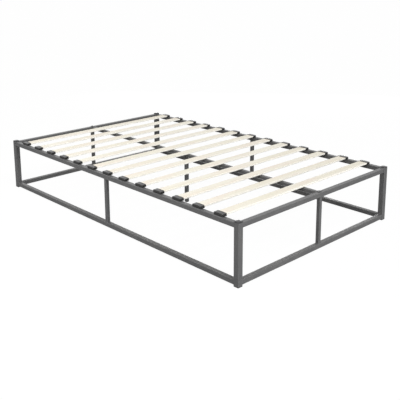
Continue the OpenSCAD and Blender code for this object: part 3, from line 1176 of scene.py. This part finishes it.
@dataclass(frozen=True)
class SlatHolder:
    """One moulded holder: crowned roof, round shoulders and back, rolled lip, socket and two snap pegs.

    Its own frame has x along the rail, y from the rail's middle line to the inside of the
    bed and z up from the rail's top. Its back is where it starts along y.
    """

    back: float
    width: float = 59.6 * MM
    depth: float = 26.0 * MM
    height: float = 14.2 * MM
    shoulder: float = 2.5 * MM
    back_corner: float = 2.5 * MM
    corner_steps: int = 5
    crown: float = 1.3 * MM
    crown_cuts: int = 9
    lip: float = 0.6 * MM
    lip_width: float = 3.0 * MM
    socket_width: float = 53.8 * MM
    socket_height: float = 8.4 * MM
    floor: float = 3.0 * MM
    back_wall: float = 3.0 * MM
    lead: float = 1.2 * MM
    flare: float = 2.4 * MM
    flare_up: float = 1.92 * MM
    ease: float = 0.3 * MM
    eased: float = 38.0
    smoothed: float = 40.0
    peg_radius: float = 3.8 * MM
    peg_length: float = 6.7 * MM
    peg_sides: int = 24
    barb: float = 0.4 * MM
    barb_start: float = 1.7 * MM
    barb_depth: float = 2.0 * MM
    slot_width: float = 1.6 * MM
    slot_top: float = 0.2 * MM

    @property
    def mouth(self) -> float:
        """Gives the mouth's place across the rail."""
        return self.back + self.depth

    def piece(self) -> Blank:
        """Makes the holder that the others are copied from.

        Returns:
            The holder.
        """
        shell = self._shell()
        shell.merge(self._socket())
        shell.soften(self.ease, self.eased)
        shell.smooth(self.smoothed)
        return shell.join(self._peg(-1), self._peg(1))

    def _shell(self) -> Blank:
        """Makes the outside: a block rounded at its back and shoulders, crowned, with the lip drawn out.

        Returns:
            The shell.
        """
        half = self.width / 2
        strip = self.mouth - self.lip_width
        shell = Blank.block("holder_shell", (-half, self.back, 0), (half, self.mouth, self.height))
        with shell.editing():
            shell.round_edges(
                lambda a, b: upright(a, b) and max(a.y, b.y) < self.back + TOUCH,
                self.back_corner, self.corner_steps,
            )
            shell.round_edges(
                lambda a, b: min(a.z, b.z) > self.height - TOUCH and min(a.y, b.y) < self.mouth - TOUCH,
                self.shoulder, self.corner_steps,
            )
            for number in range(1, self.crown_cuts + 1):
                shell.split((half * (2 * number / (self.crown_cuts + 1) - 1), 0, 0), (1, 0, 0))
            shell.split((0, strip, 0), (0, 1, 0))
            shell.pick_faces(
                lambda centre, normal: centre.y > strip and abs(normal.y) < FACING and normal.z > -FACING
            )
            bpy.ops.mesh.extrude_region_shrink_fatten(TRANSFORM_OT_shrink_fatten={"value": self.lip})
            shell.lower(self._crown_drop)
        return shell

    def _crown_drop(self, place: Vector) -> float:
        """Gives how far the crowned roof lies below its middle at a corner, nothing in the lower half."""
        rise = max(0.0, place.z / self.height - 0.5) * 2
        return self.crown * (place.x / (self.width / 2)) ** 2 * min(1.0, rise)

    def _socket(self) -> Blank:
        """Makes the block that hollows the socket, flared where it leaves the mouth.

        Returns:
            The block.
        """
        half = self.socket_width / 2
        rise = self.socket_height / 2
        low = (-half, self.back + self.back_wall, self.floor)
        core = Blank.block("socket", low, (half, self.mouth - self.lead, self.floor + 2 * rise))
        with core.editing():
            core.pick_faces(lambda centre, normal: normal.y > FACING)
            core.draw_out((0, 2 * self.lead, 0))
            grow = ((half + self.flare) / half, 1.0, (rise + self.flare_up) / rise)
            bpy.ops.transform.resize(value=grow, center_override=(0, self.mouth, self.floor + rise))
        return core

    def _peg(self, sign: int) -> Blank:
        """Makes one split snap peg with its barb.

        Args:
            sign: -1 or 1 for the peg's side of the holder.

        Returns:
            The peg.
        """
        x = sign * PEG_SPACING / 2
        foot = (x, 0, -self.peg_length)
        peg = Blank.rod(f"peg_{sign}", foot, self.peg_radius, self.peg_length + EXTRA, self.peg_sides)
        with peg.editing():
            for depth in (self.barb_start, self.barb_depth):
                peg.split((0, 0, -depth), (0, 0, 1))
            peg.pick_edges(lambda a, b: all(abs(p.z + self.barb_depth) < TOUCH for p in (a, b)))
            share = 1 + self.barb / self.peg_radius
            bpy.ops.transform.resize(value=(share, share, 1), center_override=(x, 0, 0))
        reach = self.peg_radius + EXTRA
        low = (x - reach, -self.slot_width / 2, -self.peg_length - EXTRA)
        peg.merge(Blank.block("slot", low, (x + reach, self.slot_width / 2, -self.slot_top)))
        peg.smooth()
        return peg


@dataclass
class SlatBase(SubAssembly):
    """The slats and the pairs of holders that carry them."""

    title: ClassVar[str] = "slat base"

    def build(self) -> None:
        """Builds every slat and every holder."""
        for node in numbered("slat"):
            self.keep(SlatBoard().piece(node), Slot.BIRCH, node)
        holders = numbered("slat_holders")
        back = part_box(holders[0])[0].y - middle("side_rail_top_near")[1]
        master = SlatHolder(back=back).piece()
        for node, side in product(holders, Side):
            rail = f"side_rail_top_{side.label}"
            spot = (middle(node)[0], middle(rail)[1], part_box(rail)[1].z)
            half_turn = Axis.Z if side is Side.FAR else None
            name = f"holder_{side.label}_{node.rsplit('_', 1)[1]}"
            self.keep(master.copy(name, spot, half_turn), Slot.HOLDER, node)
        master.discard()


# --- caps and feet


@dataclass(frozen=True)
class TubeEnd:
    """A moulded end for a square tube: a pad with eased edges and a ribbed hollow plug.

    Its own frame has z up from the tube's end, with the plug below. Its side is its size
    across and its height is the pad's.
    """

    side: float
    height: float
    dome: float = 0.0
    grid: int = 10
    edge: float = 0.8 * MM
    edge_steps: int = 4
    seam: float = 0.25 * MM
    corner: float = 2.0 * MM
    corner_steps: int = 5
    tube_wall: float = 1.5 * MM
    clearance: float = 0.3 * MM
    rib: float = 1.0 * MM
    rib_height: float = 1.5 * MM
    rib_pitch: float = 4.0 * MM
    ribs: int = 4
    plug_depth: float = 18.0 * MM
    plug_wall: float = 1.8 * MM
    plug_corner: float = 1.0 * MM
    plug_corner_steps: int = 3
    overlap: float = 0.5 * MM
    smoothed: float = 38.0

    def piece(self, name: str) -> Blank:
        """Makes the pad, adds the plug and its ribs, then hollows the plug.

        Args:
            name: The piece's name.

        Returns:
            The piece.
        """
        end = self._pad(name)
        outer = self.side - 2 * (self.tube_wall + self.clearance)
        core = outer - 2 * self.rib
        end.merge(self._bar("core", core, -self.plug_depth, self.overlap), Merge.ADD)
        for number in range(1, self.ribs + 1):
            top = -number * self.rib_pitch
            end.merge(self._bar("rib", outer, top - self.rib_height, top), Merge.ADD)
        hollow = core - 2 * self.plug_wall
        end.merge(self._bar("hollow", hollow, -self.plug_depth - EXTRA, -self.plug_wall))
        end.smooth(self.smoothed)
        return end

    def _pad(self, name: str) -> Blank:
        """Makes the pad: upright corners rounded, top domed, rim eased, lower edge drawn in for the seam.

        Args:
            name: The pad's name.

        Returns:
            The pad.
        """
        half = self.side / 2
        pad = Blank.block(name, (-half, -half, 0), (half, half, self.height))
        with pad.editing():
            pad.round_edges(upright, self.corner, self.corner_steps)
            for normal, number in product(((1, 0, 0), (0, 1, 0)), range(1, self.grid)):
                pad.split([part * half * (2 * number / self.grid - 1) for part in normal], normal)
            pad.lower(self._dome_drop)
            for sign, width, steps in ((1, self.edge, self.edge_steps), (-1, self.seam, 1)):
                pad.ease_rim(lambda centre, normal: sign * normal.z > FACING, width, steps)
        return pad

    def _dome_drop(self, place: Vector) -> float:
        """Gives how far the domed top lies below its middle at a corner, nothing in the lower half."""
        share = (place.x ** 2 + place.y ** 2) / (self.side / 2) ** 2
        return self.dome * share if place.z > self.height / 2 else 0.0

    def _bar(self, name: str, side: float, low: float, high: float) -> Blank:
        """Makes a square upright bar with eased edges.

        Args:
            name: The bar's name.
            side: Its size across.
            low: Its lower end.
            high: Its upper end.

        Returns:
            The bar.
        """
        bar = Blank.block(name, (-side / 2, -side / 2, low), (side / 2, side / 2, high))
        with bar.editing():
            bar.round_edges(upright, self.plug_corner, self.plug_corner_steps)
        return bar


@dataclass
class CapsAndFeet(SubAssembly):
    """The plastic caps on the posts and the feet under the posts and the leg."""

    title: ClassVar[str] = "caps and feet"
    dome: float = 1.0 * MM

    def build(self) -> None:
        """Moulds one cap, one foot and the leg's foot, and copies them to every tube."""
        low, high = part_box("post_foot_near")
        cap = TubeEnd(high.x - low.x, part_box("cap_foot_near")[1].z - high.z, self.dome).piece("cap_master")
        foot = TubeEnd(high.x - low.x, low.z).piece("foot_master")
        for end, side in product(End, Side):
            corner = f"{end.label}_{side.label}"
            self._put(cap, f"cap_{corner}", f"post_{corner}", on_top=True)
            self._put(foot, f"foot_{corner}", f"post_{corner}", on_top=False)
        low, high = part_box("centre_leg")
        leg_foot = TubeEnd(high.x - low.x, low.z).piece("leg_foot_master")
        self._put(leg_foot, "centre_leg_foot", "centre_leg", on_top=False)
        for master in (cap, foot, leg_foot):
            master.discard()

    def _put(self, master: Blank, node: str, tube: str, on_top: bool) -> None:
        """Puts one moulded end into a tube.

        Args:
            master: The moulding to copy.
            node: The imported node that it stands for.
            tube: The tube that it closes.
            on_top: True for the tube's upper end, False for its lower one.
        """
        x, y, _ = middle(tube)
        spot = (x, y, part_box(tube)[1 if on_top else 0].z)
        half_turn = None if on_top else Axis.X
        self.keep(master.copy(f"{node}_moulding", spot, half_turn), Slot.CAP, node)


# --- studio


def hang(light: bpy.types.Light, place: Point, aim: Point) -> None:
    """Hangs a lamp and turns it to face a point.

    Args:
        light: The lamp's light.
        place: Where it hangs.
        aim: The point that it faces.
    """
    lamp = bpy.data.objects.new(light.name, light)
    lamp.location = place
    lamp.rotation_euler = (Vector(aim) - Vector(place)).to_track_quat("-Z", "Y").to_euler()
    bpy.context.scene.collection.objects.link(lamp)


@dataclass(frozen=True)
class Softbox:
    """One oblong soft lamp.

    Args:
        name: The lamp's name.
        place: Where it hangs.
        aim: The point that it faces.
        size: Its width and height.
        power: Its power in watts.
    """

    name: str
    place: Point
    aim: Point
    size: tuple[float, float]
    power: float

    def build(self) -> None:
        """Hangs the lamp."""
        light = bpy.data.lights.new(self.name, "AREA")
        light.shape = "RECTANGLE"
        light.size, light.size_y = self.size
        light.energy = self.power
        hang(light, self.place, self.aim)


@dataclass(frozen=True)
class Studio:
    """A white floor and sky, one broad distant light from over the foot end and three softboxes."""

    floor_colour: Colour = (0.4, 0.4, 0.4)
    seen_colour: Colour = (0.97, 0.97, 0.97)
    floor_half: float = 150.0
    white_share: float = 0.97
    sky_level: float = 0.02
    light_from: Point = (3.0, -0.2, 3.995)
    light_strength: float = 2.9
    light_angle: float = 30.0
    softboxes: tuple[Softbox, ...] = (
        Softbox("side_strip", (0.2, -3.2, 1.7), (0.0, -0.6, 0.2), (3.4, 1.2), 80.0),
        Softbox("foot_fill", (2.9, -0.2, 0.26), (1.0, 0.0, 0.2), (1.4, 0.45), 22.0),
        Softbox("back_fill", (-2.2, 2.9, 0.16), (0.0, 0.3, 0.16), (3.0, 0.3), 36.0),
    )

    def build(self) -> None:
        """Builds the floor, the sky and the lights."""
        self._floor()
        self._sky()
        light = bpy.data.lights.new("key", "SUN")
        light.energy = self.light_strength
        light.angle = math.radians(self.light_angle)
        hang(light, self.light_from, (0.0, 0.0, 0.0))
        for softbox in self.softboxes:
            softbox.build()

    def _floor(self) -> None:
        """Lays the floor, white where it is seen and a plain grey where it only lights the bed."""
        hold()
        bpy.ops.mesh.primitive_plane_add(size=2 * self.floor_half, location=(0, 0, 0))
        floor = bpy.context.active_object
        floor.name = "floor"
        material = bpy.data.materials.new("floor_white")
        bench = NodeBench(material)
        seen = bench.seen_directly()
        colour = bench.blend(seen, self.floor_colour, self.seen_colour)
        paint = bench.add("ShaderNodeBsdfDiffuse", {"Color": colour}).outputs["BSDF"]
        glow = bench.add("ShaderNodeEmission", {"Strength": 1.0}).outputs["Emission"]
        share = bench.combine("MULTIPLY", seen, self.white_share)
        mix = bench.add("ShaderNodeMixShader", {"Fac": share, 1: paint, 2: glow})
        bench.add("ShaderNodeOutputMaterial", {"Surface": mix.outputs["Shader"]})
        floor.data.materials.append(material)

    def _sky(self) -> None:
        """Makes the sky: pure white to the camera and in reflections, dim where it only lights the bed."""
        world = bpy.data.worlds.new("studio_sky")
        bpy.context.scene.world = world
        bench = NodeBench(world)
        level = bench.remap(bench.seen_directly("Is Glossy Ray"), 0.0, 1.0, self.sky_level, 1.0)
        sky = bench.add("ShaderNodeBackground", {"Color": (1.0, 1.0, 1.0, 1.0), "Strength": level})
        bench.add("ShaderNodeOutputWorld", {"Surface": sky.outputs["Background"]})


@dataclass(frozen=True)
class Viewpoint:
    """Where the bed is seen from. The lens and the sensor are in millimetres."""

    place: Point = (2.93287, -2.66986, 1.42807)
    right: Point = (0.68983192, 0.72395503, -0.00458537)
    forward: Point = (-0.7081981, 0.67347579, -0.21186272)
    lens: float = 60.48
    sensor: float = 36.0
    shift_x: float = -0.0009
    shift_y: float = -0.22
    reach: float = 500.0

    def build(self) -> None:
        """Makes the camera and hands it to the scene."""
        right = Vector(self.right).normalized()
        back = -Vector(self.forward).normalized()
        data = bpy.data.cameras.new("view")
        data.lens = self.lens
        data.sensor_width = self.sensor
        data.shift_x = self.shift_x
        data.shift_y = self.shift_y
        data.clip_end = self.reach
        turn = Matrix((right, back.cross(right), back)).transposed().to_4x4()
        camera = bpy.data.objects.new("view", data)
        camera.matrix_world = Matrix.Translation(self.place) @ turn
        bpy.context.scene.collection.objects.link(camera)
        bpy.context.scene.camera = camera


def main() -> None:
    """Builds the studio and every part of the bed."""
    logging.basicConfig(level=logging.INFO, format="%(name)s %(message)s")
    bpy.context.scene.view_settings.view_transform = "Standard"
    Viewpoint().build()
    Studio().build()
    rack = FinishRack()
    for part in (TubeFrame(rack), CentreSupport(rack), RailFixings(rack), SlatBase(rack), CapsAndFeet(rack)):
        part.build()


if __name__ == "__main__":
    main()
